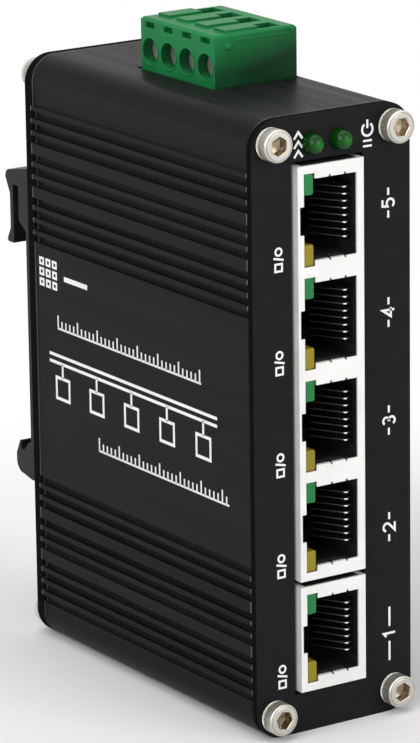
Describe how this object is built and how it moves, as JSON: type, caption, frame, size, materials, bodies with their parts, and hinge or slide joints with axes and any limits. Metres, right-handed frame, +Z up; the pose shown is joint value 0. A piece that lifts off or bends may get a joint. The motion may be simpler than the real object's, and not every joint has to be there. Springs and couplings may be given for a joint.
{
  "type": "din rail ethernet switch",
  "caption": "Slim network switch in a black finned aluminium case with sideways sockets down its front, a pluggable screw terminal on top and a rail hook at the back.",
  "frame": {"origin": "centre of the bounding box at the underside of the case", "axes": "+Z up, along the row of ports; +Y back, from the ports to the rail; +X to the right as seen from the ports"},
  "size_m": [0.0286, 0.0732, 0.1039],
  "materials": {
    "case_black": "black anodised, satin",
    "plate_black": "black anodised, satin",
    "screw_steel": "plain stainless, knurled",
    "shield_steel": "tinned sheet",
    "insert_black": "moulded, fine texture",
    "contact_gold": "gold plated",
    "lamp_green": "tinted, clear",
    "lamp_yellow": "tinted, clear",
    "tinned_wire": "tinned",
    "board_green": "solder mask over glass fibre",
    "part_black": "moulded",
    "can_metal": "drawn can",
    "plug_green": "moulded, satin",
    "spring_steel": "spring temper"
  },
  "bodies": {
    "root": {"side_shell": "case_black", "side_cover": "case_black", "front_plate": "plate_black", "rear_plate": "plate_black", "front_screws": "screw_steel", "rear_screws": "screw_steel", "rail_clip": "case_black", "clip_screws": "screw_steel", "rail_spring": "spring_steel", "main_board": "board_green", "port_bank_shield": "shield_steel", "uplink_shield": "shield_steel", "port_bank_insert": "insert_black", "uplink_insert": "insert_black", "port_bank_contacts": "contact_gold", "uplink_contacts": "contact_gold", "link_lamps": "lamp_green", "activity_lamps": "lamp_yellow", "speed_lamp": "lamp_green", "power_lamp": "lamp_green", "lamp_leads": "tinned_wire", "switch_chip": "part_black", "transformers": "part_black", "power_coil": "part_black", "capacitor": "can_metal", "crystal": "can_metal", "regulator": "part_black", "input_fuse": "part_black", "power_header": "plug_green", "header_pins": "tinned_wire"},
    "terminal_plug": {"plug_body": "plug_green", "plug_sockets": "tinned_wire"},
    "clamp_screw_1": {"plug_screw_1": "screw_steel"},
    "clamp_1": {"plug_clamp_1": "tinned_wire"},
    "clamp_screw_2": {"plug_screw_2": "screw_steel"},
    "clamp_2": {"plug_clamp_2": "tinned_wire"},
    "clamp_screw_3": {"plug_screw_3": "screw_steel"},
    "clamp_3": {"plug_clamp_3": "tinned_wire"},
    "clamp_screw_4": {"plug_screw_4": "screw_steel"},
    "clamp_4": {"plug_clamp_4": "tinned_wire"}
  },
  "joints": [
    {"name": "plug_pull", "type": "slide", "parent": "root", "child": "terminal_plug", "axis": [0, 0, 1], "range_m": [0, 0.012]},
    {"name": "clamp_screw_1_turn", "type": "hinge", "parent": "terminal_plug", "child": "clamp_screw_1", "pos_m": [-0.005, -0.00776, 0.09844], "axis": [1, 0, 0], "range_deg": [0, 1728.1]},
    {"name": "clamp_1_lift", "type": "slide", "parent": "terminal_plug", "child": "clamp_1", "axis": [-1, 0, 0], "range_m": [0, 0.0024]},
    {"name": "clamp_screw_2_turn", "type": "hinge", "parent": "terminal_plug", "child": "clamp_screw_2", "pos_m": [-0.005, -0.00268, 0.09844], "axis": [1, 0, 0], "range_deg": [0, 1728.1]},
    {"name": "clamp_2_lift", "type": "slide", "parent": "terminal_plug", "child": "clamp_2", "axis": [-1, 0, 0], "range_m": [0, 0.0024]},
    {"name": "clamp_screw_3_turn", "type": "hinge", "parent": "terminal_plug", "child": "clamp_screw_3", "pos_m": [-0.005, 0.0024, 0.09844], "axis": [1, 0, 0], "range_deg": [0, 1728.1]},
    {"name": "clamp_3_lift", "type": "slide", "parent": "terminal_plug", "child": "clamp_3", "axis": [-1, 0, 0], "range_m": [0, 0.0024]},
    {"name": "clamp_screw_4_turn", "type": "hinge", "parent": "terminal_plug", "child": "clamp_screw_4", "pos_m": [-0.005, 0.00748, 0.09844], "axis": [1, 0, 0], "range_deg": [0, 1728.1]},
    {"name": "clamp_4_lift", "type": "slide", "parent": "terminal_plug", "child": "clamp_4", "axis": [-1, 0, 0], "range_m": [0, 0.0024]}
  ],
  "couplings": [
    {"joint": "clamp_screw_1_turn", "follows": "clamp_1_lift", "rad_per_m": 12566},
    {"joint": "clamp_screw_2_turn", "follows": "clamp_2_lift", "rad_per_m": 12566},
    {"joint": "clamp_screw_3_turn", "follows": "clamp_3_lift", "rad_per_m": 12566},
    {"joint": "clamp_screw_4_turn", "follows": "clamp_4_lift", "rad_per_m": 12566}
  ]
}
